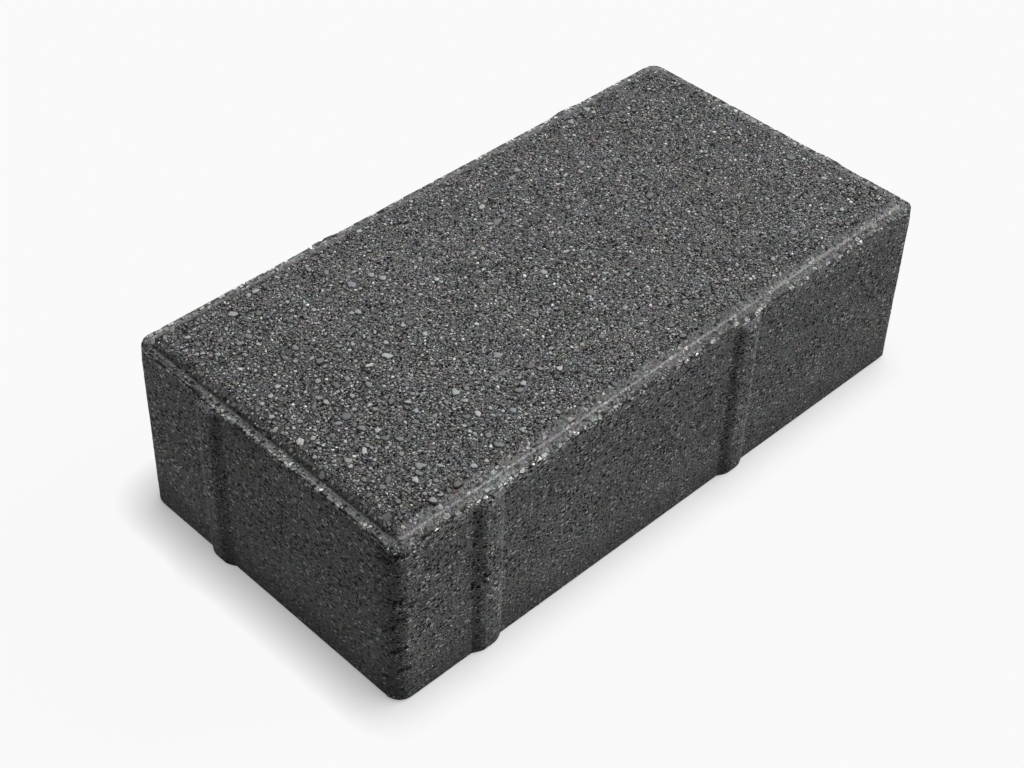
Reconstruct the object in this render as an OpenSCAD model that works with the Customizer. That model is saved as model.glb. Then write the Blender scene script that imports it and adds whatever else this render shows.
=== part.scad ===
// Concrete paving stone, pressed in one piece.
// Millimetres, +Z up, lying on its base: length along X, width along Y, origin under the centre.

/* [Stone] */
// Length between the two end walls
length = 200; // [180:1:300]
// Width between the two long walls
width = 102; // [80:1:200]
// Height from the base to the worn face
height = 58.5; // [40:0.5:120]
// Radius of the four upright corners
corner_r = 4.2; // [1:0.1:10]

/* [Rim] */
// Width of the flat lip that the press shoe leaves around the rim
lip_w = 2.5; // [0.5:0.1:6]
// Width of the slope between the lip and the worn face
slope_w = 2.6; // [1:0.1:10]
// Height of the slope
slope_h = 2.3; // [0.5:0.1:10]
// Corner radius of the worn face, inside the slope
face_corner_r = 0.4; // [0.2:0.1:10]

/* [Spacer nibs] */
// How far a nib stands out from its wall
nib_reach = 1.4; // [0.5:0.1:4]
// Width of a nib where it meets the wall
nib_base_w = 10.2; // [6:0.1:16]
// Width of a nib's flat crest
nib_crest_w = 3.6; // [2:0.1:6]
// Step from the lip down to a nib's top, at the wall
nib_drop = 0.4; // [0.2:0.1:5]
// Fall of a nib's top from the wall to the crest
nib_fall = 1.4; // [0.2:0.1:5]
// Spacing of the two nibs on a long wall
nib_pitch = 96; // [40:1:98]
// First nib of the front wall, from the left end
front_nib_offset = 30.5; // [15:0.5:60]
// First nib of the back wall, from the left end
back_nib_offset = 64; // [15:1:70]
// Nib of an end wall, from the corner on its own left
end_nib_offset = 31.5; // [15:0.5:60]

/* [Hidden] */
// Depth to which the raised face and the nibs are rooted in the body, which makes them one solid
root = 2;
// The slope turns at its foot on its own radius, or follows the upright corner where that is larger
slope_out = max(face_corner_r + slope_w, corner_r - lip_w);
lip_z = height - slope_h;
nib_wall_z = lip_z - nib_drop;
nib_crest_z = nib_wall_z - nib_fall;
concrete_grey = "#5c5c5d";
$fn = 64;

// The four places of a corner's centre, each turned to face its own corner
module at_corners(inset) {
    for (turn = [0 : 3]) {
        side_x = (turn == 0 || turn == 3) ? 1 : -1;
        side_y = turn < 2 ? 1 : -1;
        translate([side_x * (length / 2 - inset), side_y * (width / 2 - inset), 0])
            rotate(90 * turn) children();
    }
}

// The body between its walls, from the base up to the lip
module body() {
    linear_extrude(height = lip_z) {
        square([length - 2 * corner_r, width], center = true);
        square([length, width - 2 * corner_r], center = true);
        at_corners(corner_r) circle(r = corner_r);
    }
}

// Section across the raised face and its slopes, from one lip to the other
module face_section(span) {
    foot = span / 2 - lip_w;
    brow = foot - slope_w;
    polygon([
        [-foot, lip_z - root], [foot, lip_z - root],
        [foot, lip_z], [brow, height],
        [-brow, height], [-foot, lip_z],
    ]);
}

// The raised worn face: both straight runs of the section, and the slope turned about each corner
module raised_face() {
    inset = lip_w + slope_out;
    run_x = length - 2 * inset;
    run_y = width - 2 * inset;
    rotate([90, 0, 90])
        translate([0, 0, -run_x / 2])
            linear_extrude(height = run_x) face_section(width);
    rotate([90, 0, 0])
        translate([0, 0, -run_y / 2])
            linear_extrude(height = run_y) face_section(length);
    at_corners(inset)
        rotate_extrude(angle = 90)
            polygon([
                [0, lip_z - root], [slope_out, lip_z - root],
                [slope_out, lip_z], [slope_out - slope_w, height], [0, height],
            ]);
}

// One nib on a wall that faces +Y along the X axis: its plan, cut to its slanting top
module nib() {
    intersection() {
        linear_extrude(height = lip_z)
            polygon([
                [-nib_base_w / 2, -root], [nib_base_w / 2, -root],
                [nib_base_w / 2, 0], [nib_crest_w / 2, nib_reach],
                [-nib_crest_w / 2, nib_reach], [-nib_base_w / 2, 0],
            ]);
        rotate([90, 0, 90])
            translate([0, 0, -nib_base_w / 2])
                linear_extrude(height = nib_base_w)
                    polygon([
                        [-root, 0], [nib_reach, 0],
                        [nib_reach, nib_crest_z], [0, nib_wall_z], [-root, nib_wall_z],
                    ]);
    }
}

// The nibs keep stones apart when they are laid: two on each long wall, one on each end
module nibs() {
    for (step = [0, nib_pitch]) {
        translate([-length / 2 + front_nib_offset + step, -width / 2, 0]) rotate(180) nib();
        translate([-length / 2 + back_nib_offset + step, width / 2, 0]) nib();
    }
    for (side = [-1, 1])
        translate([side * length / 2, -side * (width / 2 - end_nib_offset), 0]) rotate(-90 * side) nib();
}

module paving_stone() {
    color(concrete_grey)
        union() {
            body();
            raised_face();
            nibs();
        }
}

paving_stone();
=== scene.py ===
"""Concrete paving stone: one pressed block with pale grit in its face, lying on a pale studio floor."""

import math
from collections import namedtuple

import bpy
import numpy as np
from mathutils import Matrix, Vector, geometry, kdtree, noise


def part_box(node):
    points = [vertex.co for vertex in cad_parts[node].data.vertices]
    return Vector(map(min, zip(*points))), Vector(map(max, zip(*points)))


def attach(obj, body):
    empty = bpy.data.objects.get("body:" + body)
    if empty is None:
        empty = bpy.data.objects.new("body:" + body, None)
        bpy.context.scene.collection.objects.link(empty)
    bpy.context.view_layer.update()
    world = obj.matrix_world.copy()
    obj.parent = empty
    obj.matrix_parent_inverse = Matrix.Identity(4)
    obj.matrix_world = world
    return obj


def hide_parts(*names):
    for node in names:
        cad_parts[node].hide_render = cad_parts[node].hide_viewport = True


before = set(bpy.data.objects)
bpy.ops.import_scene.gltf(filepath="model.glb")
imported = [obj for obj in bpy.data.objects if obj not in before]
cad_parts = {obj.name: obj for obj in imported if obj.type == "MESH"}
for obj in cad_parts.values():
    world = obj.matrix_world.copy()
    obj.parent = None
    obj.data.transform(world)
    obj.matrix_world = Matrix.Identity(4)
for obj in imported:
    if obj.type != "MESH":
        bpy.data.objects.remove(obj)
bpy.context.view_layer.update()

# Sizes in millimetres, as the block is moulded. The overall ones come from the part's box in model.glb
MM = 0.001
NIB_REACH = 1.4
low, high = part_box("paving_stone")
LENGTH = (high.x - low.x) / MM - 2 * NIB_REACH
WIDTH = (high.y - low.y) / MM - 2 * NIB_REACH
HEIGHT = high.z / MM
CORNER_R = 4.2
LIP_W = 2.5
SLOPE_W = 2.6
SLOPE_H = 2.3
FACE_CORNER_R = 0.4
RIM_W = LIP_W + SLOPE_W
SLOPE_OUT = FACE_CORNER_R + SLOPE_W
LIP_Z = HEIGHT - SLOPE_H
WALL_TOP = LIP_Z - 0.3
FACE_X = LENGTH / 2 - RIM_W
FACE_Y = WIDTH / 2 - RIM_W
NIB_BASE_W = 10.2
NIB_CREST_W = 3.6
NIB_WALL_Z = LIP_Z - 0.4
NIB_CREST_Z = NIB_WALL_Z - 1.4
NIB_ROUNDING = 1.5
NIB_SWELL = 0.6
FRONT_NIBS = (-69.5, 26.5)
BACK_NIBS = (-36.0, 60.0)
END_NIB = WIDTH / 2 - 31.5

# Wear that the press and handling leave: rounder corners at the rim and a soft foot
RIM_WEAR = 0.8
RIM_WEAR_H = 6.0
FOOT_R = 0.9
# How much larger the corners' radii are than drawn: front right, back right, back left, front left
CORNER_TRIM = (-1.2, -1.2, 0.8, 0.0)
# How far the walls bulge past their drawn planes: front, right, back, left
BULGE = (0.0, 0.1, 0.38, 0.0)

# A value called a run gives where a change starts and where it is full

# How far the rim's outer edge hangs at the front corner and along the front, and rises at the far left
SAG_SPOT = np.array((-LENGTH / 2 + 3.5, -WIDTH / 2 + 0.5))
SAG_H = 5.0
CORNER_SAG = 2.8
CORNER_SAG_RUN = (6.5, 1.5)
FRONT_SAG = 1.0
FRONT_SAG_RUN = (60, -60)
FAR_LIFT = 0.5
FAR_LIFT_RUN = (0, 45)

# The crumbled front corner
ROUGH_CORNER = np.array((-LENGTH / 2 + 1.5, -WIDTH / 2 + 1.5))
ROUGH_RUN = (9, 4)
ROUGH_TOP_RUN = (LIP_Z, LIP_Z - 3)
# Slits where its layers parted: height, place round the corner with the front wall positive, half length
SLITS = (
    (50.5, -3.5, 3.0), (37.5, 0.5, 2.2), (34.5, 4.5, 2.0), (31.0, 1.5, 2.6),
    (27.0, -2.5, 2.6), (18.0, -2.5, 3.4), (11.5, 2.0, 3.2), (8.0, -4.0, 2.4),
)
SLIT_H = 1.5
SLIT_DEPTH = 1.3
SLIT_TILT = 0.15
SLIT_WANDER = 0.6
SLIT_FLANK_RUN = (1, 0.3)
SLIT_END_RUN = (1, 0.5)

# Height of the relief, and how strong its noise is where a pit starts and where it is deepest
GRAIN_H = 0.085
WALL_GRAIN_H = 0.05
FINE_GRAIN_H = 0.02
SWELL_H = 0.08
WIDE_SWELL_H = 0.10
PIT_RUN = (0.45, 0.75)
PIT_DEPTH = 0.4
CRUMBLE_H = 0.08
CRUMBLE_LOSS = 0.02

# Noises: the width of their bumps, and a start of their own so that they don't repeat each other
Bumps = namedtuple("Bumps", "width start")
GRAIN = Bumps(0.9, 3.1)
FINE_GRAIN = Bumps(0.55, 17.7)
SWELL = Bumps(7.0, 5.3)
WIDE_SWELL = Bumps(30.0, 41.9)
PITS = Bumps(1.6, 71.3)
CRUMBLE = Bumps(1.3, 23.9)
SLIT_EDGES = Bumps(1.6, 33.1)
CREASE_BREAKS = Bumps(1.2, 12.4)
BROW_PATCHES = Bumps(7.0, 52.6)
WEAR_PATCHES = Bumps(4.0, 61.7)

# Spacing of the mesh points, and the share of it by which scattered ones stray
COLUMN_STEP = 1.05
NIB_STEP = 0.6
CORNER_STEP = 0.5
NIB_EDGE_W = 0.4
CORNER_EASE = 8.0
WALL_STEP = 0.8
FACE_STEP = 0.74
BASE_STEP = 3.5
JITTER = 0.22

# A point faces a side where its share that way passes this
FACES = 0.5

SEED = 4489
rng = np.random.default_rng(SEED)


def rough(points, bumps):
    """Smooth noise from about -1 to 1."""
    places = (points / bumps.width + bumps.start).tolist()
    return np.fromiter((noise.noise(p) for p in places), float, len(places))


def smooth(value, start, end):
    """Rises from 0 at start to 1 at end with no kink."""
    t = np.clip((value - start) / (end - start), 0, 1)
    return t * t * (3 - 2 * t)


def mesh_from(name, points, triangles, maps, values):
    """A mesh object from points in millimetres, triangles, a texture map and values at its points."""
    mesh = bpy.data.meshes.new(name)
    mesh.vertices.add(len(points))
    mesh.vertices.foreach_set("co", (points * MM).ravel())
    mesh.loops.add(triangles.size)
    mesh.loops.foreach_set("vertex_index", triangles.ravel().astype(np.int32))
    mesh.polygons.add(len(triangles))
    mesh.polygons.foreach_set("loop_start", np.arange(0, triangles.size, 3, dtype=np.int32))
    mesh.uv_layers.new(name="OFBake").data.foreach_set("uv", maps.ravel())
    for key, value in values.items():
        mesh.attributes.new(key, "FLOAT", "POINT").data.foreach_set("value", value.astype(np.float32))
    mesh.update(calc_edges=True)
    mesh.validate()
    piece = bpy.data.objects.new(name, mesh)
    bpy.context.scene.collection.objects.link(piece)
    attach(piece, "root")
    return piece


# The plan outline, walked anticlockwise from the left end of the front wall
def wall_columns(half_along, nibs):
    """Places along one wall, closer on its nibs, with a close pair at each edge of a nib's foot."""
    along = np.linspace(-half_along, half_along, round(2 * half_along / COLUMN_STEP), endpoint=False)
    half_nib = NIB_BASE_W / 2
    flank = np.linspace(-half_nib, half_nib, round(NIB_BASE_W / NIB_STEP))
    on_nib = np.concatenate([flank[:1] - NIB_EDGE_W, flank, flank[-1:] + NIB_EDGE_W])
    for centre in nibs:
        clear = abs(along - centre) > half_nib + NIB_EDGE_W + COLUMN_STEP / 2
        along = np.sort(np.concatenate([along[clear], centre + on_nib]))
    return along


def nib_push(along, nibs):
    """How far the nibs push their wall out, as a share of their reach."""
    nearest = np.min([abs(along - centre) for centre in nibs], axis=0)
    climbed = np.clip((NIB_BASE_W / 2 - nearest) / (NIB_BASE_W - NIB_CREST_W) * 2, 0, 1)
    return 1 - (1 - climbed) ** NIB_ROUNDING


HALF_X = LENGTH / 2 - CORNER_R
HALF_Y = WIDTH / 2 - CORNER_R
Wall = namedtuple("Wall", "half_along half_across along push out way")
WALLS = []
for half_along, half_across, nibs, facing in (
    (HALF_X, HALF_Y, FRONT_NIBS, -90),
    (HALF_Y, HALF_X, (-END_NIB,), 0),
    (HALF_X, HALF_Y, [-x for x in BACK_NIBS], 90),
    (HALF_Y, HALF_X, (-END_NIB,), 180),
):
    turn = math.radians(facing)
    out = np.array((math.cos(turn), math.sin(turn)))
    way = np.array((-out[1], out[0]))
    along = wall_columns(half_along, nibs)
    WALLS.append(Wall(half_along, half_across, along, nib_push(along, nibs), out, way))
ARC = np.linspace(0, math.pi / 2, round(CORNER_R * math.pi / 2 / CORNER_STEP), endpoint=False)


def swing(wall):
    """The ways that the corner at the end of a wall faces."""
    return np.outer(np.cos(ARC), wall.out) + np.outer(np.sin(ARC), wall.way)


def ring(inset, radius):
    """Plan points of the rounded rectangle an inset inside the walls, with a corner radius of its own."""
    radii = [radius + trim * max(0, 1 - inset / LIP_W) for trim in CORNER_TRIM]
    points = []
    for i, wall in enumerate(WALLS):
        reach = wall.half_along + CORNER_R - inset
        before = reach + BULGE[i - 1] - radii[i - 1]
        after = reach + BULGE[(i + 1) % len(WALLS)] - radii[i]
        kept = wall.half_along - CORNER_EASE
        drawn = (-wall.half_along, -kept, kept, wall.half_along)
        along = np.interp(wall.along, drawn, (-before, -kept, kept, after))
        across = wall.half_across + CORNER_R - inset + BULGE[i]
        points.append(along[:, None] * wall.way + across * wall.out)
        points.append(after * wall.way + (across - radii[i]) * wall.out + radii[i] * swing(wall))
    return np.vstack(points)


def outward():
    """The way each column faces."""
    ways = []
    for wall in WALLS:
        ways += [np.tile(wall.out, (len(wall.along), 1)), swing(wall)]
    return np.vstack(ways)


PUSH = np.concatenate([part for wall in WALLS for part in (wall.push, np.zeros(len(ARC)))])
OUTWARD = outward()
COLUMNS = len(PUSH)

# One row of the skin: where it lies, the way it faces, and how far it belongs to the lip, slope or edge
Row = namedtuple("Row", "inset level radius out up lip slope arris", defaults=(0, 0, 0))
# The ways that the rows face: share outwards, share upwards
WALL_FACING = (1, 0)
EDGE_FACING = (0.75, 0.65)
LIP_FACING = (0.1, 0.99)
CREASE_FACING = (0.3, 0.95)
SLOPE_FACING = (0.66, 0.75)
BROW_FACING = (0.35, 0.94)
# Rows round the foot: shares of its radius inwards and upwards, added corner radius, facing
FOOT_ROWS = ((1, 0, 0.6, (0.3, -0.95)), (0.3, 0.3, 0.3, (0.7, -0.7)), (0, 1, 0, WALL_FACING))
# The broken edge: where it starts and is full below the lip, and the inset and drop of its own row
EDGE_RUN = (LIP_Z - 1.1, LIP_Z - 0.4)
EDGE_INSET = 0.06
EDGE_DROP = 0.1
EDGE_LIP = 0.6
# Rows of the lip: inset, share of the broken edge
LIP_ROWS = ((0.22, 1), (0.5, 0.85), (0.85, 0.4), (1.4, 0.2), (1.9, 0.1))
# Rows of the crease: inset past the lip, rise
CREASE_ROWS = ((-0.3, 0), (-0.1, 0.01), (0.1, 0.08), (0.25, 0.3), (0.4, 0.5), (0.6, 0.7))
# Rows of the slope: share of the climb, share of the wear
SLOPE_ROWS = ((0.3, 1.0), (0.6, 0.9), (0.85, 0.6))


def rim_radius(inset):
    return float(np.interp(inset, (0, LIP_W, RIM_W), (CORNER_R + RIM_WEAR, SLOPE_OUT, FACE_CORNER_R)))


def section():
    """Rows of the skin from the base's edge up the wall, over the lip and slope to the worn face."""
    rows = [Row(FOOT_R * a, FOOT_R * b, CORNER_R + added, *facing) for a, b, added, facing in FOOT_ROWS]
    for z in np.linspace(FOOT_R, WALL_TOP, round((WALL_TOP - FOOT_R) / WALL_STEP))[1:]:
        worn = RIM_WEAR * smooth(z, LIP_Z - RIM_WEAR_H, LIP_Z)
        rows.append(Row(0.0, z, CORNER_R + worn, *WALL_FACING, arris=smooth(z, *EDGE_RUN)))
    edge_r = rim_radius(EDGE_INSET)
    rows.append(Row(EDGE_INSET, LIP_Z - EDGE_DROP, edge_r, *EDGE_FACING, lip=EDGE_LIP, arris=1))
    for inset, arris in LIP_ROWS:
        rows.append(Row(inset, LIP_Z, rim_radius(inset), *LIP_FACING, lip=1, arris=arris))
    for past, rise in CREASE_ROWS:
        rows.append(Row(LIP_W + past, LIP_Z + rise, rim_radius(LIP_W + past), *CREASE_FACING, lip=1))
    foot, foot_z = rows[-1].inset, rows[-1].level
    for climb, worn in SLOPE_ROWS:
        inset = foot + climb * (RIM_W - foot)
        level = foot_z + climb * (HEIGHT - foot_z)
        rows.append(Row(inset, level, rim_radius(inset), *SLOPE_FACING, slope=worn))
    rows.append(Row(RIM_W, HEIGHT, FACE_CORNER_R, *BROW_FACING))
    return rows


ROWS = section()
# Points are numbered from the walls and rim, row by row, to the worn face and then the base
FACE_FROM = len(ROWS) * COLUMNS
BROW_FROM = FACE_FROM - COLUMNS


def scatter(half_x, half_y, step):
    """Points over a rectangle about a step apart, in staggered rows with some jitter."""
    rise = step * math.sqrt(3) / 2
    rows = np.arange(-half_y + rise / 2, half_y, rise)
    x, y = np.meshgrid(np.arange(-half_x + step / 2, half_x, step), rows)
    x = x + np.where(np.arange(len(rows)) % 2, step / 2, 0)[:, None]
    points = np.stack([x, y], -1).reshape(-1, 2)
    points += rng.uniform(-JITTER, JITTER, points.shape) * step
    inside = (abs(points[:, 0]) < half_x - step / 2) & (abs(points[:, 1]) < half_y - step / 2)
    return points[inside]


def fill(edge, inside):
    """Triangles over a flat closed ring and the points inside it, which are numbered after the ring's."""
    points = [Vector(p) for p in np.vstack([edge, inside])]
    count = len(edge)
    edges = [(i, (i + 1) % count) for i in range(count)]
    inside_only = 1
    nearest = 1e-6
    _, _, faces, origins, _, _ = geometry.delaunay_2d_cdt(points, edges, [], inside_only, nearest)
    first = np.array([origin[0] for origin in origins])
    return first[np.array(faces)]


def strips():
    """Triangles of the wall and rim, with the column and row of each corner for the texture map."""
    i = np.arange(COLUMNS)
    corners = []
    for j in range(len(ROWS) - 1):
        here, above = np.full(COLUMNS, j), np.full(COLUMNS, j + 1)
        a, b = np.stack([i, here], -1), np.stack([i + 1, here], -1)
        c, d = np.stack([i + 1, above], -1), np.stack([i, above], -1)
        corners += [np.stack([a, b, c], 1), np.stack([a, c, d], 1)]
    return np.vstack(corners)


def sag(plan):
    """How far the rim's outer edge hangs below the drawn lip."""
    apart = np.linalg.norm(plan - SAG_SPOT, axis=1)
    corner = CORNER_SAG * smooth(apart, *CORNER_SAG_RUN)
    front = FRONT_SAG * np.maximum(-OUTWARD[:, 1], 0) * smooth(plan[:, 0], *FRONT_SAG_RUN)
    left = FAR_LIFT * np.maximum(-OUTWARD[:, 0], 0) * smooth(plan[:, 1], *FAR_LIFT_RUN)
    return corner + front - left


def lay_skin():
    """Plain points of the walls and rim, row by row, and the way each faces."""
    points, facing = [], []
    for row in ROWS:
        fade = np.clip((NIB_WALL_Z - row.level) / (NIB_WALL_Z - NIB_CREST_Z), 0, 1)
        reach = NIB_REACH * fade * (row.inset < FOOT_R / 2 or row.level < FOOT_R)
        swell = NIB_SWELL * max(0, 1 - row.inset) * (row.level > NIB_CREST_Z)
        plan = ring(row.inset, row.radius) + max(reach, swell) * PUSH[:, None] * OUTWARD
        hung = smooth(row.level, LIP_Z - SAG_H, WALL_TOP) * max(0, 1 - row.inset / LIP_W)
        points.append(np.column_stack([plan, row.level - hung * sag(plan)]))
        facing.append(np.column_stack([row.out * OUTWARD, np.full(COLUMNS, row.up)]))
    return np.vstack(points), np.vstack(facing)


def lay_points():
    """Plain points of the whole skin, the way each faces, and the number of the base's first point."""
    skin, facing = lay_skin()
    face = scatter(FACE_X, FACE_Y, FACE_STEP)
    base = scatter(LENGTH / 2 - FOOT_R, WIDTH / 2 - FOOT_R, BASE_STEP)
    face_points = np.column_stack([face, np.full(len(face), HEIGHT)])
    base_points = np.column_stack([base, np.zeros(len(base))])
    up, down = np.tile((0.0, 0.0, 1.0), (len(face), 1)), np.tile((0.0, 0.0, -1.0), (len(base), 1))
    return np.vstack([skin, face_points, base_points]), np.vstack([facing, up, down]), FACE_FROM + len(face)


def skin_triangles(points, base_from, corners):
    """Triangles of the walls with the rim, of the worn face and of the base."""
    wall = corners[..., 0] % COLUMNS + corners[..., 1] * COLUMNS
    face = fill(points[BROW_FROM:FACE_FROM, :2], points[FACE_FROM:base_from, :2]) + BROW_FROM
    base = fill(points[:COLUMNS, :2], points[base_from:, :2])
    base = np.where(base < COLUMNS, base, base - COLUMNS + base_from)[:, ::-1]
    return wall, face, base


# The texture map, in pixels: the worn face at the top, two bands of wall under it, the base small below
MAP_SIZE = 1024
FACE_SCALE = 4.8
FACE_SPOT = np.array((512, 800))
WALL_SCALE = 3.0
WALL_LEFT = 12
WALL_LOW = 170
BAND_H = 210
BASE_SCALE = 1.5
BASE_SPOT = np.array((512, 82))


def skin_map(points, corners, face_fill, base_fill):
    """Where the corners of the triangles lie on the texture map."""
    outline = ring(0, CORNER_R)
    walked = np.append(0, np.cumsum(np.linalg.norm(np.roll(outline, -1, 0) - outline, axis=1)))
    inset, level = np.array([(row.inset, row.level) for row in ROWS]).T
    climbed = np.append(0, np.cumsum(np.hypot(np.diff(inset), np.diff(level))))
    s, t = walked[corners[..., 0]], climbed[corners[..., 1]]
    half_way = walked[-1] / 2
    second = (s.mean(1) > half_way)[:, None]
    across = (s - half_way * second) * WALL_SCALE + WALL_LEFT
    wall_map = np.stack([across, t * WALL_SCALE + BAND_H * second + WALL_LOW], -1)
    face_map = points[face_fill][..., :2] * FACE_SCALE + FACE_SPOT
    base_map = points[base_fill][..., :2] * BASE_SCALE + BASE_SPOT
    return np.vstack([wall_map, face_map, base_map]) / MAP_SIZE


def by_row(name):
    """A row's value for each of its points."""
    return np.repeat([float(getattr(row, name)) for row in ROWS], COLUMNS)


# The pale line between lip and slope: its inset past the lip, its flanks, and its drift along the front
CREASE_INSET = 0.05
CREASE_FLANK_RUN = (0.32, 0.08)
CREASE_DRIFT = 0.42
CREASE_DRIFT_RUN = (-60, 60)


def crease(skin):
    """1 in the line between lip and slope, which moves in towards the right of the front."""
    front = np.tile(np.maximum(-OUTWARD[:, 1], 0), len(ROWS))
    drift = CREASE_DRIFT * front * smooth(skin[:, 0], *CREASE_DRIFT_RUN)
    return smooth(abs(by_row("inset") - LIP_W - CREASE_INSET - drift), *CREASE_FLANK_RUN)


# How broken the rim's edge is on the front, where it eases to the right, at the left end and elsewhere
FRONT_EDGE = 0.95
FRONT_EDGE_EASE = 0.25
FRONT_EDGE_RUN = (-40, 60)
LEFT_EDGE = 0.85
OTHER_EDGE = 0.75
# How far the row below the brow belongs to the worn face
BROW_FACE = 0.7


def rim_values(points, ways, base_from):
    """How far each point belongs to the lip, slope, broken edge, crease, nibs and worn face."""
    names = ("lip", "slope", "arris", "crease", "crest", "face")
    values = {name: np.zeros(len(points)) for name in names}
    for name in ("lip", "slope", "arris"):
        values[name][:FACE_FROM] = by_row(name)
    skin = points[:FACE_FROM]
    values["crease"][:FACE_FROM] = crease(skin)
    front_edge = FRONT_EDGE - FRONT_EDGE_EASE * smooth(points[:, 0], *FRONT_EDGE_RUN)
    to_front, to_left = ways[:, 1] < -FACES, ways[:, 0] < -FACES
    values["arris"] *= np.select([to_front, to_left], [front_edge, LEFT_EDGE], OTHER_EDGE)
    values["face"][BROW_FROM:base_from] = 1
    values["face"][BROW_FROM - COLUMNS : BROW_FROM] = BROW_FACE
    push = np.tile(PUSH, len(ROWS))
    values["crest"][:FACE_FROM] = 0.5 * (push > 0) + 0.5 * (push == 1)
    nib_top = (skin[:, 2] > NIB_CREST_Z) & (skin[:, 2] < LIP_Z)
    values["lip"][:FACE_FROM] = np.maximum(values["lip"][:FACE_FROM], nib_top * push)
    return values


# How calm the speckle is made: by wearing on the short sides' rim, the foot and the crease, and as painted
# shade on the left end's wall
SHORT_CALM = 0.5
LEFT_SHADE_CALM = 0.25
LOW_CALM = 0.7
LOW_CALM_RUN = (28, 2)
CREASE_CALM = 1.6
PATCH_LEAST = 0.7
PATCH_SWING = 0.6
# A wall faces the left end where its outward share passes this
TO_LEFT = -0.7


def wear_and_shade_calm(points, ways, values):
    """How far wearing, and on the left end's wall painted shade, has calmed the speckle at each point."""
    long_side = abs(ways[:, 1]) > abs(ways[:, 0])
    rim = np.maximum(values["lip"], values["slope"]) * np.where(long_side, 1, SHORT_CALM)
    rim *= PATCH_LEAST + PATCH_SWING * rough(points, WEAR_PATCHES)
    # The left end's wall is calmed as painted shade
    left_wall = (ways[:, 0] < TO_LEFT) * LEFT_SHADE_CALM
    low_wall = (ways[:, 2] <= 0) * LOW_CALM * smooth(points[:, 2], *LOW_CALM_RUN)
    return np.maximum.reduce([rim, left_wall + low_wall, CREASE_CALM * values["crease"]])


def rough_corner(points):
    """1 at the crumbled upright corner and 0 away from it."""
    apart = np.linalg.norm(points[:, :2] - ROUGH_CORNER, axis=1)
    return smooth(apart, *ROUGH_RUN) * smooth(points[:, 2], *ROUGH_TOP_RUN)


def slits(points):
    """1 in the slits of the crumbled corner and 0 elsewhere."""
    around = points[:, 0] + LENGTH / 2 - points[:, 1] - WIDTH / 2
    wander = SLIT_WANDER * rough(points, SLIT_EDGES)
    deepest = np.zeros(len(points))
    for level, place, half in SLITS:
        across = abs(points[:, 2] - level - SLIT_TILT * (around - place) + wander) / (SLIT_H / 2)
        along = abs(around - place) / half
        deepest = np.maximum(deepest, smooth(across, *SLIT_FLANK_RUN) * smooth(along, *SLIT_END_RUN))
    return deepest * rough_corner(points)


def relief(points, facing, arris, worn):
    """Height of the grain, swells, pits, broken edges and slits, and where the pits and slits are."""
    upright = abs(facing[:, 2]) < FACES
    grain = np.where(upright, WALL_GRAIN_H, GRAIN_H) * rough(points, GRAIN)
    grain += FINE_GRAIN_H * rough(points, FINE_GRAIN)
    swell = SWELL_H * rough(points, SWELL) + WIDE_SWELL_H * rough(points, WIDE_SWELL)
    pit = smooth(rough(points, PITS), *PIT_RUN) * (1 - worn)
    crumble = arris * (CRUMBLE_H * rough(points, CRUMBLE) - CRUMBLE_LOSS)
    slit = slits(points)
    height = grain + swell - PIT_DEPTH * pit + crumble - SLIT_DEPTH * slit
    under = facing[:, 2] < -FACES
    return np.where(under, -abs(grain), height), np.maximum(pit, slit)


# Shares by which the rim is lighter or darker than the plain walls: the lip and crest are paler, and by side
# the slopes, the crease and the left end's edge carry painted light and shade
LIP_PALE = 0.5
FRONT_LIP_PALE = 0.27
CREST_PALE = 0.15
# Painted light on the front and back slopes, painted shade on the right and left end's slopes; the left one's
# shade lifts as it climbs
FRONT_SLOPE_PAINTED_LIGHT = 0.34
BACK_SLOPE_PAINTED_LIGHT = 0.02
RIGHT_SLOPE_PAINTED_SHADE = 0.42
LEFT_SLOPE_PAINTED_SHADE = 1.05
LEFT_SLOPE_CLIMB = 1.3
# The crease is a pale polished line, made far paler on the front as a painted sheen and dark at the left end
# as painted shade
FRONT_CREASE_SHEEN = 1.2
CREASE_PALE = 0.3
LEFT_CREASE_SHADE = 0.15
CREASE_LEAST = 0.85
CREASE_SWING = 0.3
# At the left end painted shade darkens the foot of the slope and the outer edge, the edge less so towards the
# back
LEFT_FOOT_SHADE = 0.7
LEFT_FOOT_RUN = (LIP_Z + 0.05, LIP_Z + 0.2)
LEFT_EDGE_SHADE = 0.8
LEFT_EDGE_EASE = 0.45
LEFT_EDGE_RUN = (-15, 20)
EDGE_SHARE_RUN = (0.5, 0.85)

Sides = namedtuple("Sides", "front back left")


def sides_of(facing):
    """Which points belong to the front, the back and the left end."""
    long_side = abs(facing[:, 1]) > abs(facing[:, 0])
    to_front, to_left = facing[:, 1] < 0, facing[:, 0] < 0
    return Sides(long_side & to_front, long_side & (facing[:, 1] > 0), ~long_side & to_left)


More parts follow.
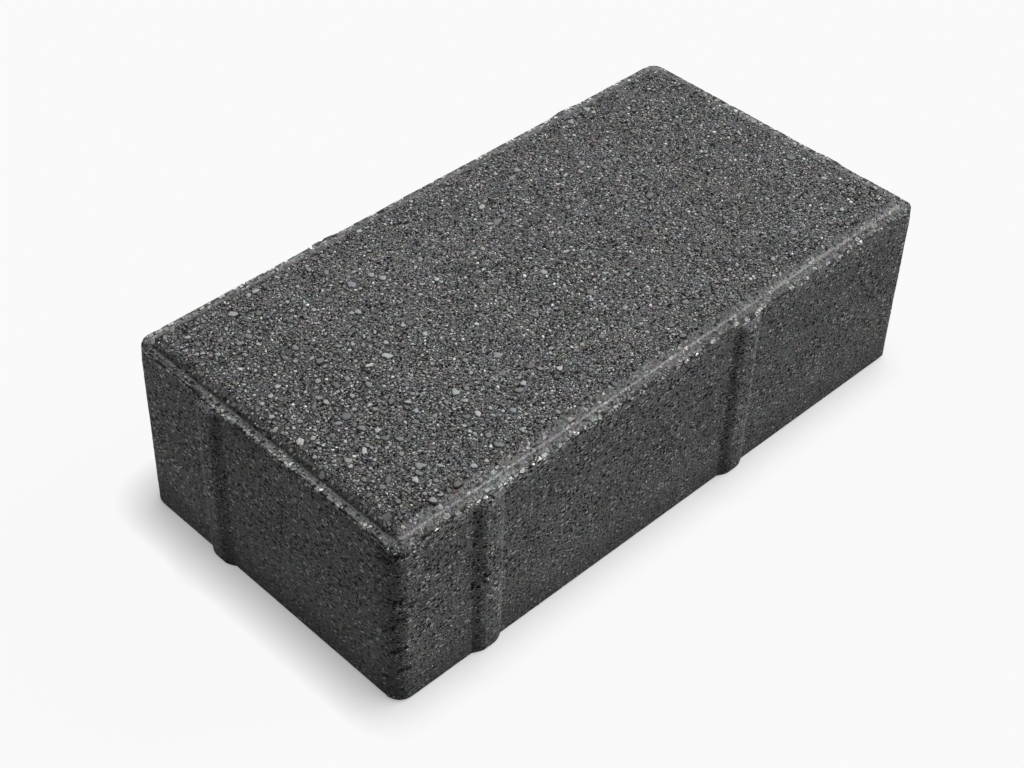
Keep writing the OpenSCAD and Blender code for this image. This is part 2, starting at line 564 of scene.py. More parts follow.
def rim_tone(points, side, values):
    """How light the rim makes each point, by side, with painted light and shade on the slopes, the crease and
    the left end's foot and edge.
    """
    z = points[:, 2]
    lip = values["lip"]
    # Painted light and shade by side on the slopes and crease, painted shade at the left end's foot and edge
    left_slope_painted_shade = LEFT_SLOPE_CLIMB * (z - LIP_Z) / SLOPE_H - LEFT_SLOPE_PAINTED_SHADE
    slope = np.select(list(side), [FRONT_SLOPE_PAINTED_LIGHT, BACK_SLOPE_PAINTED_LIGHT, left_slope_painted_shade], -RIGHT_SLOPE_PAINTED_SHADE)
    line = np.select([side.front, side.left], [FRONT_CREASE_SHEEN, -LEFT_CREASE_SHADE], CREASE_PALE)
    broken = CREASE_LEAST + CREASE_SWING * rough(points, CREASE_BREAKS)
    foot = lip * smooth(z, *LEFT_FOOT_RUN)
    edge = smooth(values["arris"], *EDGE_SHARE_RUN) * (lip > 0)
    edge *= LEFT_EDGE_SHADE - LEFT_EDGE_EASE * smooth(points[:, 1], *LEFT_EDGE_RUN)
    tone = 1 + lip * np.where(side.front, FRONT_LIP_PALE, LIP_PALE) + CREST_PALE * values["crest"]
    tone *= 1 + values["slope"] * slope
    tone *= 1 + values["crease"] * broken * line
    return tone * (1 - side.left * (LEFT_FOOT_SHADE * foot + edge))


# Shares by which places on the walls are lighter or darker, and where; the foot, the left side of the
# crumbled corner and the left end's nib carry painted light and shade
WALL_TOP_RUN = (LIP_Z - 6, LIP_Z - 1)
FRONT_TOP_PALE = 0.3
NEAR_TOP_PALE = 0.15
NEAR_TOP_RUN = (20, -60)
LEFT_TOP_DARK = 0.25
LEFT_TOP_RUN = (10, 40)
# Painted shade darkens the walls towards their foot, more at the left end
WALL_FOOT_RUN = (15, 0)
WALL_FOOT_SHADE = 0.38
LEFT_WALL_FOOT_SHADE = 0.46
LEFT_PALE = 0.03
FAR_LEFT_PALE = 0.15
FAR_LEFT_RUN = (15, 40)
# At the crumbled corner the front is a little paler and the left side darker with painted shade
ROUGH_FRONT_PALE = 0.12
ROUGH_LEFT_SHADE = 0.3
# The left end's nib has a painted highlight, a pale line at its far foot, and painted shade on its near flank
NIB_LINE_HIGHLIGHT = 0.5
NIB_LINE_RUN = (0.7, 0.2)
NIB_FLANK_SHADE = 0.3
NIB_FLANK_RUN = (NIB_BASE_W / 4, NIB_BASE_W / 8)


def wall_tone(points, side, values):
    """How light each point of the walls is: darker with painted shade at the foot and the crumbled corner,
    and by side.
    """
    y, z = points[:, 1], points[:, 2]
    plain = values["lip"] == 0
    off_face = values["face"] == 0
    near = NEAR_TOP_PALE * smooth(points[:, 0], *NEAR_TOP_RUN)
    left_top = LEFT_TOP_DARK * (smooth(y, *LEFT_TOP_RUN) - 1)
    top = np.select([side.front, side.left], [FRONT_TOP_PALE + near, left_top], 0)
    tone = 1 + plain * (z < LIP_Z) * smooth(z, *WALL_TOP_RUN) * top
    # Painted shade towards the foot
    foot_shade = np.where(side.left, LEFT_WALL_FOOT_SHADE, WALL_FOOT_SHADE)
    tone *= 1 - foot_shade * plain * smooth(z, *WALL_FOOT_RUN)
    tone *= 1 + LEFT_PALE * side.left * off_face
    tone *= 1 + FAR_LEFT_PALE * side.left * off_face * smooth(y, *FAR_LEFT_RUN)
    # Painted highlight and painted shade on the left end's nib
    line = NIB_LINE_HIGHLIGHT * smooth(abs(y - END_NIB - NIB_BASE_W / 2), *NIB_LINE_RUN)
    flank = NIB_FLANK_SHADE * smooth(abs(y - END_NIB + NIB_BASE_W / 4), *NIB_FLANK_RUN)
    tone *= 1 + side.left * (z < NIB_CREST_Z) * (line - flank)
    # Painted shade on the left side of the crumbled corner
    corner = ROUGH_FRONT_PALE * side.front - ROUGH_LEFT_SHADE * side.left
    return tone * (1 + rough_corner(points) * plain * corner)


# Shares by which the worn face is darker: all over, at its left end, and in patches along its front
FACE_DARK = 0.03
FACE_LEFT_DARK = 0.2
FACE_LEFT_RUN = (-45, -85)
BROW_RUN = (-FACE_Y + 4, -FACE_Y + 1)
BROW_DARK = 0.12
BROW_SWING = 0.4
BROW_LIMITS = (0, 0.4)


def face_tone(points, face):
    """How light the worn face is at each point."""
    tone = 1 - face * (FACE_DARK + FACE_LEFT_DARK * smooth(points[:, 0], *FACE_LEFT_RUN))
    patches = np.clip(BROW_DARK + BROW_SWING * rough(points, BROW_PATCHES), *BROW_LIMITS)
    return tone * (1 - face * smooth(points[:, 1], *BROW_RUN) * patches)


# Pits and slits are painted near black, painted shade in their hollows
PIT_SHADE = 0.82


def wear_and_painted_light(points, facing, values, pit):
    """How light each point is: a pale rim whose painted light and shade differ by side, a foot and left end
    dark largely with painted shade, and pits black with painted shade.
    """
    side = sides_of(facing)
    tone = rim_tone(points, side, values) * wall_tone(points, side, values)
    return tone * face_tone(points, values["face"]) * (1 - PIT_SHADE * pit)


def build_stone():
    """The block's skin as one closed mesh, its points and their ways, and where the base's points start."""
    points, ways, base_from = lay_points()
    corners = strips()
    wall_fill, face_fill, base_fill = skin_triangles(points, base_from, corners)
    values = rim_values(points, ways, base_from)
    worn = wear_and_shade_calm(points, ways, values)
    height, pit = relief(points, ways, values["arris"], worn)
    tone = wear_and_painted_light(points, ways, values, pit)
    points = points + height[:, None] * ways
    points[:, 2] = np.maximum(points[:, 2], 0)
    maps = skin_map(points, corners, face_fill, base_fill)
    painted = {"face": values["face"], "arris": values["arris"], "worn": worn, "tone": tone}
    piece = mesh_from("stone", points, np.vstack([wall_fill, face_fill, base_fill]), maps, painted)
    piece.data.shade_smooth()
    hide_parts("paving_stone")
    return piece, points, ways, base_from


# Stones in the surface: how many, least and greatest width, how fast they thin out with width, sides
PEBBLES = 1800
PEBBLE_W = (0.9, 3.0)
PEBBLE_STEEPNESS = 3.9
PEBBLE_SIDES = 9
GRIT = 9000
GRIT_W = (0.5, 1.3)
GRIT_STEEPNESS = 2.6
WALL_GRIT = 3000
WALL_GRIT_W = (0.42, 0.85)
WALL_GRIT_STEEPNESS = 2.8
GRAIN_SIDES = 5
# Tones of the stones: the share of them that has this tone or one before it, least tone, greatest tone
PEBBLE_TONES = ((0.04, 2.0, 3.0), (0.5, 1.25, 2.3), (1, 0.75, 1.25))
GRIT_TONES = ((0.05, 4.5, 4.5), (0.22, 1.7, 3.2), (0.82, 0.8, 1.5), (1, 0.05, 0.05))
WALL_GRIT_TONES = ((0.15, 2.5, 4.5), (0.4, 1.4, 2.4), (1, 0.03, 0.2))
# The left end's grit has less contrast, as painted shade
LEFT_SHADE_CONTRAST = 0.6
# Rings of a stone from the top down: share of the radius, share of the height, darkness, which is painted
# shade on its sides and sunk foot
PEBBLE_RINGS = ((0.62, 1.0, 0), (0.9, 0.75, 0), (0.98, 0.35, 1), (1.16, 0.08, 1), (1.24, -1.5, 1))
GRAIN_RINGS = ((0.8, 1.0, 0), (1.1, -1.0, 1))
# They stand out by a share of the root of their radius, spill over the slope and keep some distance
PROUD = 0.28
WALL_PROUD = 0.1
SPILL = 1.7
CLEARANCE = 0.98
TRIES = 60
# A stone lies level where its upward share passes this. Grit stays off the broken edge past this share of it
LEVEL_UP = 0.7
GRIT_EDGE = 0.5
# How many points of the surface give the height of a seat
SEAT_POINTS = 3
# Their outlines: how far corners turn and reach, how narrow the stones are, how far they tilt
CORNER_TURN = 0.32
CORNER_REACH = (0.62, 1.25)
NARROWNESS = (0.5, 1.0)
TILT = 0.08
# Their squares on the texture map: scale and place of the top and of the underside
TOP_SCALE = 0.3
TOP_SPOT = 0.42
UNDER_SCALE = 0.04
UNDER_SPOT = 0.93
# Pebbles lie closest at the left end of the face, towards the front
CROWD_LEAST = 0.3
CROWD_RUN = (-25, -80)
CROWD_BACK = 0.6
CROWD_BACK_RUN = (45, 0)
# A few rusty grains lie left of the middle
RUST_SHARE = 0.008
RUST_RUN = (-30, -60)


def widths(count, least, greatest, steepness):
    """Widths with many small and few large, the largest first."""
    even = (np.arange(count) + 0.5) / count
    power = 1 - steepness
    sizes = (least**power + even * (greatest**power - least**power)) ** (1 / power)
    return np.sort(sizes)[::-1]


def draw_tones(count, kinds):
    """A tone for each stone, drawn from the kinds by their shares."""
    lot = rng.random(count)
    tones = [rng.uniform(a, b, count) if a < b else np.full(count, a) for _, a, b in kinds]
    return np.select([lot < share for share, _, _ in kinds], tones)


def neighbours(taken, key):
    """The stones already in a cell and the cells round it."""
    i, j = key
    return [stone for a in (-1, 0, 1) for b in (-1, 0, 1) for stone in taken.get((i + a, j + b), ())]


def strew(sizes, chance, taken):
    """A place on the worn face for each size, clear of those already taken, likelier where chance is high."""
    cell = PEBBLE_W[1]
    spots = []
    for size in sizes:
        for _ in range(TRIES):
            x = rng.uniform(-1, 1) * (FACE_X + SPILL)
            y = rng.uniform(-1, 1) * (FACE_Y + SPILL)
            if rng.random() > chance(x, y):
                continue
            key = (math.floor(x / cell), math.floor(y / cell))
            near = neighbours(taken, key)
            if all(math.hypot(x - a, y - b) > 0.5 * (size + c) * CLEARANCE for a, b, c in near):
                break
        taken.setdefault(key, []).append((x, y, size))
        spots.append((x, y))
    return np.array(spots)


def stone_axes(up):
    """Two directions across each stone, turned at random about the way it faces."""
    turn = rng.uniform(0, 2 * math.pi, len(up))[:, None]
    across = np.cross(up, np.where(abs(up[:, 2:]) > LEVEL_UP, (1.0, 0, 0), (0, 0, 1.0)))
    across /= np.linalg.norm(across, axis=1)[:, None]
    first = np.cos(turn) * across + np.sin(turn) * np.cross(up, across)
    return first, np.cross(up, first)


def stone_outlines(count, sides):
    """Irregular outlines with a radius of about 1."""
    even = np.arange(sides) * 2 * math.pi / sides
    angles = even + rng.uniform(-CORNER_TURN, CORNER_TURN, (count, sides))
    reach = rng.uniform(*CORNER_REACH, (count, sides))
    squeeze = rng.uniform(*NARROWNESS, count)[:, None]
    return np.stack([reach * np.cos(angles), reach * np.sin(angles) * squeeze], -1)


def stone_triangles(sides, layers):
    """Triangles of one stone, from its top to its underside. The middles of these two are its last points."""
    i = np.arange(sides)
    after = (i + 1) % sides
    middle = layers * sides
    parts = [np.stack([i, after, np.full(sides, middle)], -1)]
    for layer in range(layers - 1):
        upper, lower = layer * sides, (layer + 1) * sides
        parts.append(np.stack([i + upper, i + lower, after + lower], -1))
        parts.append(np.stack([i + upper, after + lower, after + upper], -1))
    last = (layers - 1) * sides
    parts.append(np.stack([after + last, i + last, np.full(sides, middle + 1)], -1))
    return np.vstack(parts)


def stone_map(local, one, sides):
    """A square of the texture map for each stone, seen from above, with its underside small in the corner."""
    count = len(local)
    row_length = math.ceil(math.sqrt(count))
    square = np.stack(np.divmod(np.arange(count), row_length), -1)[:, None, None]
    under = (np.arange(len(one)) >= len(one) - sides)[None, :, None, None]
    seen = local[:, one]
    inside = np.where(under, seen * UNDER_SCALE + UNDER_SPOT, seen * TOP_SCALE + TOP_SPOT)
    return ((square + inside) / row_length).reshape(-1, 2)


def set_stones(name, centres, up, size, tone, rust, sides, rings, proud=PROUD):
    """Closed little stones with irregular outlines, sunk in the surface."""
    count = len(centres)
    first, other = stone_axes(up)
    flat = stone_outlines(count, sides)
    tilt = rng.normal(0, TILT, (count, 1, 2))
    radius = size[:, None, None] / 2
    proud = proud * np.sqrt(radius) / radius
    layers, local, dark = [], [], []
    for share, height, darkness in rings:
        plan = flat * share
        lift = height * proud + (plan * tilt).sum(-1, keepdims=True)
        place = plan[..., :1] * first[:, None] + plan[..., 1:] * other[:, None] + lift * up[:, None]
        layers.append(centres[:, None] + radius * place)
        local.append(plan)
        dark.append(np.full((count, sides), darkness))
    middles = [layers[0].mean(1, keepdims=True), layers[-1].mean(1, keepdims=True)]
    points = np.concatenate(layers + middles, 1)
    local = np.concatenate(local + [np.zeros((count, 2, 2))], 1)
    middle_dark = np.tile((rings[0][2], rings[-1][2]), (count, 1))
    dark = np.concatenate(dark + [middle_dark], 1)
    each = points.shape[1]
    one = stone_triangles(sides, len(rings))
    triangles = (one[None] + each * np.arange(count)[:, None, None]).reshape(-1, 3)
    values = {"tone": np.repeat(tone, each), "rust": np.repeat(rust, each), "dark": dark.ravel()}
    return mesh_from(name, points.reshape(-1, 3), triangles, stone_map(local, one, sides), values)


def crowded_left(x, y):
    """How likely a pebble is to lie at a place on the face."""
    to_front = CROWD_BACK + (1 - CROWD_BACK) * float(smooth(y, *CROWD_BACK_RUN))
    return CROWD_LEAST + (1 - CROWD_LEAST) * float(smooth(x, *CROWD_RUN)) * to_front


def even_spread(x, y):
    return 1.0


def face_stones(points, base_from):
    """Pebbles and grit flush with the worn face."""
    surface = kdtree.KDTree(base_from - FACE_FROM)
    for i, p in enumerate(points[FACE_FROM:base_from]):
        surface.insert((p[0], p[1], 0), i)
    surface.balance()
    heights = points[FACE_FROM:base_from, 2]
    taken = {}

    def seat(spots):
        """Where the spots lie on the surface, and the way it faces there."""
        found = [surface.find_n((x, y, 0), SEAT_POINTS) for x, y in spots]
        level = [np.mean([heights[i] for _, i, _ in points_near]) for points_near in found]
        past = abs(spots) - np.array((FACE_X, FACE_Y))
        over = np.clip(past.max(1), 0, SPILL)
        out = np.sign(spots) * (past == past.max(1, keepdims=True)) * (over > 0)[:, None]
        up = np.column_stack([out * SLOPE_H, np.full(len(spots), SLOPE_W)])
        centres = np.column_stack([spots, level - over * SLOPE_H / SLOPE_W])
        return centres, up / np.linalg.norm(up, axis=1)[:, None]

    size = widths(PEBBLES, *PEBBLE_W, PEBBLE_STEEPNESS)
    centres, up = seat(strew(size, crowded_left, taken))
    tone = draw_tones(PEBBLES, PEBBLE_TONES)
    rust = np.zeros(PEBBLES)
    pebbles = set_stones("pebbles", centres, up, size, tone, rust, PEBBLE_SIDES, PEBBLE_RINGS)

    size = widths(GRIT, *GRIT_W, GRIT_STEEPNESS)
    centres, up = seat(strew(size, even_spread, taken))
    tone = draw_tones(GRIT, GRIT_TONES)
    rust = (rng.random(GRIT) < RUST_SHARE * smooth(centres[:, 0], *RUST_RUN)).astype(float)
    return pebbles, set_stones("grit", centres, up, size, tone, rust, GRAIN_SIDES, GRAIN_RINGS)


def wall_stones(points, ways):
    """Fine grit flush with the walls, of less contrast at the left end as painted shade."""
    wall = np.flatnonzero((by_row("up") == 0) & (by_row("arris") < GRIT_EDGE))
    picked = rng.choice(wall, WALL_GRIT, replace=False)
    up = ways[picked] / np.linalg.norm(ways[picked], axis=1)[:, None]
    size = widths(WALL_GRIT, *WALL_GRIT_W, WALL_GRIT_STEEPNESS)
    tone = draw_tones(WALL_GRIT, WALL_GRIT_TONES)
    tone = np.where(up[:, 0] < TO_LEFT, 1 + LEFT_SHADE_CONTRAST * (tone - 1), tone)
    rust = np.zeros(WALL_GRIT)
    return set_stones("wall_grit", points[picked], up, size, tone, rust, GRAIN_SIDES, GRAIN_RINGS, WALL_PROUD)


# Materials. The concrete was pressed in layers, so the grains lie flat in its walls and long in its edge
EVEN = (1.0, 1.0, 1.0)
FLAT = (1.55, 1.55, 0.95)
LONG = (1.7, 1.7, 1.0)
GREY = 0.18
SPECULAR = 0.25
# Faint drift of the colour from place to place
MOTTLE = 0.3
MOTTLE_SIZE = 4.0
# Flecks: the middle, by its distance from the edge, how far the rim swings the other way, the darkest tone
FLECK_MIDDLE = ((0.05, 0.0), (0.16, 1.0))
FLECK_RIM = 0.8
FLECK_DARKEST = 0.02
# Numbers of the colour sockets of a mix node
MIX_START = 6
MIX_END = 7
MIX_RESULT = 2


class Nodes:
    """Shorthand for one material's nodes. Cells and noises are given by their size in millimetres."""

    def __init__(self, name, roughness, specular=SPECULAR):
        self.material = bpy.data.materials.new(name)
        self.material.use_nodes = True
        self.tree = self.material.node_tree
        self.shader = self.tree.nodes["Principled BSDF"]
        self.shader.inputs["Roughness"].default_value = roughness
        self.shader.inputs["Specular IOR Level"].default_value = specular
        self.place = self.tree.nodes.new("ShaderNodeTexCoord").outputs["Object"]

    def put(self, socket, value):
        if isinstance(value, bpy.types.NodeSocket):
            self.tree.links.new(value, socket)
        else:
            socket.default_value = value

    def math(self, operation, *values):
        made = self.tree.nodes.new("ShaderNodeMath")
        made.operation = operation
        for socket, value in zip(made.inputs, values):
            self.put(socket, value)
        return made.outputs[0]

    def times(self, first, *others):
        for other in others:
            first = self.math("MULTIPLY", first, other)
        return first

    def blend(self, share, start, end):
        """From start to end as share goes from 0 to 1."""
        made = self.tree.nodes.new("ShaderNodeMix")
        for socket, value in zip(made.inputs[:1] + made.inputs[2:4], (share, start, end)):
            self.put(socket, value)
        return made.outputs[0]

    def at(self, stretch):
        """The place on the part, shrunk where the pattern is to be stretched."""
        squash = self.tree.nodes.new("ShaderNodeVectorMath")
        squash.operation = "DIVIDE"
        squash.inputs[1].default_value = stretch
        self.put(squash.inputs[0], self.place)
        return squash.outputs[0]

    def noise(self, size, detail=2.0, stretch=EVEN):
        made = self.tree.nodes.new("ShaderNodeTexNoise")
        self.put(made.inputs["Vector"], self.at(stretch))
        made.inputs["Scale"].default_value = 1 / (size * MM)
        made.inputs["Detail"].default_value = detail
        return made.outputs[0]

    def voronoi(self, size, feature, stretch):
        made = self.tree.nodes.new("ShaderNodeTexVoronoi")
        made.feature = feature
        self.put(made.inputs["Vector"], self.at(stretch))
        made.inputs["Scale"].default_value = 1 / (size * MM)
        return made

    def cells(self, size, stretch=EVEN):
        """A random value for each cell."""
        split = self.tree.nodes.new("ShaderNodeSeparateColor")
        self.tree.links.new(self.voronoi(size, "F1", stretch).outputs["Color"], split.inputs[0])
        return split.outputs[0]

    def joints(self, size, stretch=EVEN):
        """The distance from the edge of a cell, in cells."""
        return self.voronoi(size, "DISTANCE_TO_EDGE", stretch).outputs["Distance"]

    def flecks(self, size, levels, stretch=EVEN):
        """Grains with a level each in the middle and a rim that makes up for it, so that the mean is even."""
        level = self.math("SUBTRACT", self.ramp(self.cells(size, stretch), *levels), 1.0)
        middle = self.ramp(self.joints(size, stretch), *FLECK_MIDDLE)
        swing = self.math("MULTIPLY_ADD", middle, 1 + FLECK_RIM, -FLECK_RIM)
        return self.math("MAXIMUM", self.math("MULTIPLY_ADD", level, swing, 1.0), FLECK_DARKEST)

    def read(self, name):
        made = self.tree.nodes.new("ShaderNodeAttribute")
        made.attribute_name = name
        return made.outputs["Fac"]

    def ramp(self, value, *stops):
        """A value through (place, level) stops, whose levels may pass 1."""
        greatest = max(level for _, level in stops)
        made = self.tree.nodes.new("ShaderNodeValToRGB")
        self.tree.links.new(value, made.inputs[0])
        steps = made.color_ramp.elements
        while len(steps) < len(stops):
            steps.new(0.5)
        for step, (place, level) in zip(steps, stops):
            step.position = place
            step.color = (*(3 * [level / greatest]), 1)
        return self.math("MULTIPLY", made.outputs["Color"], greatest)

    def paint(self, tone, tint=None, share=0.0):
        """Sets the surface's colour to a grey of this tone, faintly mottled, turned to a tint by a share."""
        mottle = self.tree.nodes.new("ShaderNodeVectorMath")
        mottle.operation = "MULTIPLY_ADD"
        self.tree.links.new(self.noise(MOTTLE_SIZE).node.outputs["Color"], mottle.inputs[0])
        mottle.inputs[1].default_value = 3 * [MOTTLE]
        mottle.inputs[2].default_value = 3 * [1 - MOTTLE / 2]
        grey = self.tree.nodes.new("ShaderNodeVectorMath")
        grey.operation = "SCALE"
        self.tree.links.new(mottle.outputs[0], grey.inputs[0])
        self.tree.links.new(tone, grey.inputs["Scale"])
        colour = grey.outputs[0]
        if tint:
            mix = self.tree.nodes.new("ShaderNodeMix")
            mix.data_type = "RGBA"
            self.put(mix.inputs[0], share)
            self.put(mix.inputs[MIX_START], colour)
            self.put(mix.inputs[MIX_END], tint)
            colour = mix.outputs[MIX_RESULT]
        self.tree.links.new(colour, self.shader.inputs["Base Color"])

    def bump(self, height, strength, depth):
        made = self.tree.nodes.new("ShaderNodeBump")
        made.inputs["Strength"].default_value = strength
        made.inputs["Distance"].default_value = depth * MM
        self.tree.links.new(height, made.inputs["Height"])
        self.tree.links.new(made.outputs[0], self.shader.inputs["Normal"])


# The concrete: sizes of its grains in millimetres, and stops of (share of the grains, tone)
SAND = 0.42
SAND_TONES = ((0.32, 0.12), (0.5, 1.0), (0.68, 2.1))
FACE_FLECK = 0.8
FACE_TONES = ((0, 0.02), (0.25, 0.04), (0.3, 0.8), (0.66, 1.15), (0.73, 2.1), (1, 3.4))
FACE_HOLE = 0.4
FACE_HOLES = ((0, 0.02), (0.1, 0.04), (0.14, 1.0), (1, 1.08))
FACE_LEVEL = 0.645
DUST = 0.4
DUST_TONES = ((0.3, 0.4), (0.5, 1.0), (0.7, 1.65))
WALL_FLECK = 0.95
WALL_TONES = ((0, 0.02), (0.2, 0.03), (0.24, 0.85), (0.76, 1.1), (0.81, 2.1), (1, 3.1))
WALL_HOLE = 0.36
WALL_HOLES = ((0, 0.02), (0.07, 0.03), (0.1, 1.0), (1, 1.0))
WALL_LEVEL = 0.6
CHIP = 1.1
CHIP_TONES = ((0, 0.1), (0.2, 0.3), (0.28, 1.4), (0.55, 2.0), (0.62, 3.3), (1, 4.8))
CHIP_JOINTS = ((0, 0.02), (0.06, 0.03), (0.1, 1.0))
GAP = 0.9
GAP_TONES = ((0.27, 0.05), (0.31, 1.0))
DRIFT = 14
DRIFT_TONES = ((0.3, 0.9), (0.7, 1.1))
CALM_SHARE = 0.35
CALM_TONE = 0.75
JOINT_H = 1.5


def worn_face(n, sand):
    """Close grains and sand."""
    tone = n.times(n.flecks(FACE_FLECK, FACE_TONES), n.ramp(sand, *SAND_TONES))
    return n.times(tone, n.ramp(n.cells(FACE_HOLE), *FACE_HOLES), FACE_LEVEL)


def pressed_wall(n, dust):
    """Flat grains, black and white ones among them, in calmer dust."""
    tone = n.times(n.flecks(WALL_FLECK, WALL_TONES, FLAT), n.ramp(dust, *DUST_TONES))
    return n.times(tone, n.ramp(n.cells(WALL_HOLE, FLAT), *WALL_HOLES), WALL_LEVEL)


def edge_chips(n):
    """Long pale and dark chips with black joints."""
    return n.times(n.ramp(n.cells(CHIP, LONG), *CHIP_TONES), n.ramp(n.joints(CHIP, LONG), *CHIP_JOINTS))


def concrete():
    """Charcoal cement and sand: close speckle on the worn face, calmer walls, a worn rim, a broken edge."""
    n = Nodes("charcoal_concrete", roughness=0.92)
    face = n.read("face")
    sand = n.noise(SAND, detail=1)
    dust = n.noise(DUST, detail=1, stretch=FLAT)
    tone = n.blend(face, pressed_wall(n, dust), worn_face(n, sand))
    tone = n.times(tone, n.ramp(n.noise(GAP, detail=1), *GAP_TONES))
    # The worn value calms the speckle; on the left end's wall that calm is painted shade
    tone = n.blend(n.times(n.read("worn"), CALM_SHARE), tone, CALM_TONE)
    tone = n.times(tone, n.blend(n.read("arris"), 1.0, edge_chips(n)))
    tone = n.times(tone, n.ramp(n.noise(DRIFT), *DRIFT_TONES))
    n.paint(n.times(tone, n.read("tone"), GREY))
    face_height = n.math("MULTIPLY_ADD", n.joints(FACE_FLECK), JOINT_H, sand)
    n.bump(n.blend(face, dust, face_height), strength=1.0, depth=0.35)
    return n.material


# The stones in the surface
STONE_GRAIN = 0.35
STONE_GRAIN_TONES = ((0.3, 0.75), (0.7, 1.25))
STONE_BUMP = 0.3
STONE_FOOT_SHADE = 0.85
RUST = (0.25, 0.16, 0.10, 1)


def aggregate(name):
    """Pale worn stone, darkened round its sides and foot with painted shade, with a few rusty ones."""
    n = Nodes(name, roughness=0.8)
    grain = n.ramp(n.noise(STONE_GRAIN), *STONE_GRAIN_TONES)
    # Painted shade darkens the rings round the stone's sides and foot
    stone_foot_shade = n.math("MULTIPLY_ADD", n.read("dark"), -STONE_FOOT_SHADE, 1.0)
    n.paint(n.times(n.read("tone"), grain, stone_foot_shade, GREY), RUST, n.read("rust"))
    n.bump(n.noise(STONE_BUMP), strength=0.4, depth=0.1)
    return n.material


# The floor as the light sees it, the share of white that the camera sees, and how white the room shows
FLOOR_GREY = 0.3
SEEN_SHARE = 0.93
SEEN_WHITE = 0.97
# Its shadow: the side of the room that the stone can hide, how far from the stone, and the tones
OPEN_SIDE = (0.6, -0.3, 0.74)
SHADOW_REACH = 13
SHADOW_TONES = ((0.0, 0.2), (1.0, 1.0))


def floor_material():
    """Near white to the camera, darker where the stone hides the key light's side of the room, and a mid grey
    to the light that it sends back to the stone."""
    n = Nodes("pale_floor", roughness=1.0, specular=0.0)
    tree = n.tree
    n.shader.inputs["Base Color"].default_value = (*(3 * [FLOOR_GREY]), 1)
    towards = tree.nodes.new("ShaderNodeCombineXYZ")
    for socket, part in zip(towards.inputs, OPEN_SIDE):
        socket.default_value = part
    hidden = tree.nodes.new("ShaderNodeAmbientOcclusion")
    hidden.inputs["Distance"].default_value = SHADOW_REACH * MM
    tree.links.new(towards.outputs[0], hidden.inputs["Normal"])
    glow = tree.nodes.new("ShaderNodeEmission")
    tree.links.new(n.ramp(hidden.outputs["AO"], *SHADOW_TONES), glow.inputs["Color"])
    seen = tree.nodes.new("ShaderNodeLightPath").outputs["Is Camera Ray"]
    mix = tree.nodes.new("ShaderNodeMixShader")
    tree.links.new(n.math("MULTIPLY", seen, SEEN_SHARE), mix.inputs[0])
    tree.links.new(n.shader.outputs[0], mix.inputs[1])
    tree.links.new(glow.outputs[0], mix.inputs[2])
    tree.links.new(mix.outputs[0], tree.nodes["Material Output"].inputs["Surface"])
    return n.material


# Studio: floor, lights and camera
def lay_floor(half):
    """A square floor, by half its width in metres."""
    corners = [(-half, -half, 0), (half, -half, 0), (half, half, 0), (-half, half, 0)]
    mesh = bpy.data.meshes.new("floor")
    mesh.from_pydata(corners, [], [(0, 1, 2, 3)])
    mesh.materials.append(floor_material())
    floor = bpy.data.objects.new("floor", mesh)
    bpy.context.scene.collection.objects.link(floor)


def lamp(name, azimuth, elevation, strength, spread):
    """A far soft lamp, by where it shines from in degrees. A strength of 1 shows colours as written."""
    light = bpy.data.lights.new(name, "SUN")
    light.energy = strength * math.pi
    light.angle = math.radians(spread)
    made = bpy.data.objects.new(name, light)
    a, e = math.radians(azimuth), math.radians(elevation)
    source = Vector((math.cos(a) * math.cos(e), math.sin(a) * math.cos(e), math.sin(e)))
    made.rotation_euler = source.to_track_quat("Z", "Y").to_euler()
    bpy.context.scene.collection.objects.link(made)


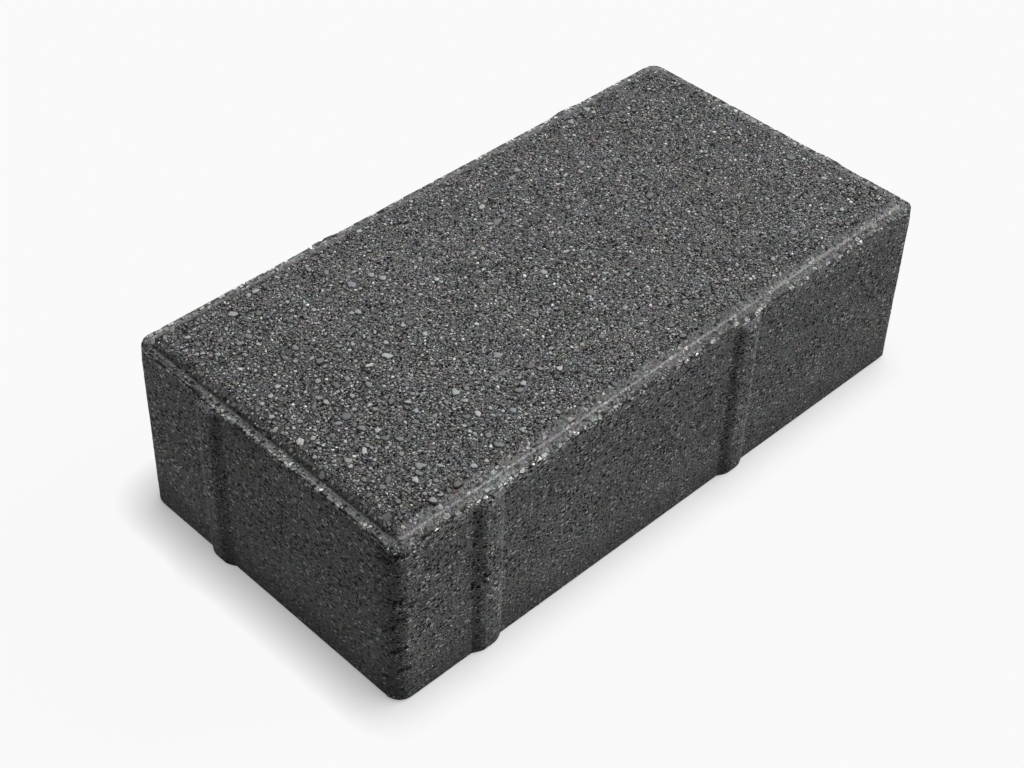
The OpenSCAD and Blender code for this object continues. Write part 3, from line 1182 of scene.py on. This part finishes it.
def surroundings(strength):
    """An even room that lights the stone at this strength and shows as white as the floor."""
    world = bpy.data.worlds.new("studio")
    bpy.context.scene.world = world
    world.use_nodes = True
    tree = world.node_tree
    sky = tree.nodes["Background"]
    sky.inputs["Color"].default_value = (1, 1, 1, 1)
    level = tree.nodes.new("ShaderNodeMapRange")
    level.inputs["To Min"].default_value = strength
    level.inputs["To Max"].default_value = SEEN_WHITE
    tree.links.new(tree.nodes.new("ShaderNodeLightPath").outputs["Is Camera Ray"], level.inputs["Value"])
    tree.links.new(level.outputs[0], sky.inputs["Strength"])


# The photograph's view: angles in degrees, the rest in millimetres
VIEW_AZIMUTH = -45.587
VIEW_ELEVATION = 41.714
VIEW_ROLL = -1.891
VIEW_AIM = (-0.29, 10.652, 8.13)
VIEW_DISTANCE = 565.449
LENS = 67.97
SENSOR_W = 36
NEAREST_SEEN = 10


def look():
    """The camera, with a slight roll about the line of sight."""
    azimuth, elevation, roll = (math.radians(a) for a in (VIEW_AZIMUTH, VIEW_ELEVATION, VIEW_ROLL))
    level = math.cos(elevation)
    back = Vector((math.sin(azimuth) * level, -math.cos(azimuth) * level, math.sin(elevation)))
    right = Vector((math.cos(azimuth), math.sin(azimuth), 0))
    up = back.cross(right)
    rolled_right = math.cos(roll) * right - math.sin(roll) * up
    rolled_up = math.sin(roll) * right + math.cos(roll) * up
    lens = bpy.data.cameras.new("camera")
    lens.lens = LENS
    lens.sensor_width = SENSOR_W
    lens.clip_start = NEAREST_SEEN * MM
    camera = bpy.data.objects.new("camera", lens)
    turned = Matrix((rolled_right, rolled_up, back)).transposed()
    place = Vector(VIEW_AIM) * MM + VIEW_DISTANCE * MM * back
    camera.matrix_world = Matrix.LocRotScale(place, turned, None)
    bpy.context.scene.collection.objects.link(camera)
    bpy.context.scene.camera = camera


stone, points, ways, base_from = build_stone()
stone.data.materials.append(concrete())
pale = aggregate("pale_aggregate")
for piece in (*face_stones(points, base_from), wall_stones(points, ways)):
    piece.data.materials.append(pale)

lay_floor(half=3.0)
lamp("key", azimuth=-25, elevation=31, strength=1.05, spread=24)
lamp("fill", azimuth=120, elevation=45, strength=0.4, spread=60)
surroundings(strength=0.25)
look()
bpy.context.scene.view_settings.view_transform = "Standard"
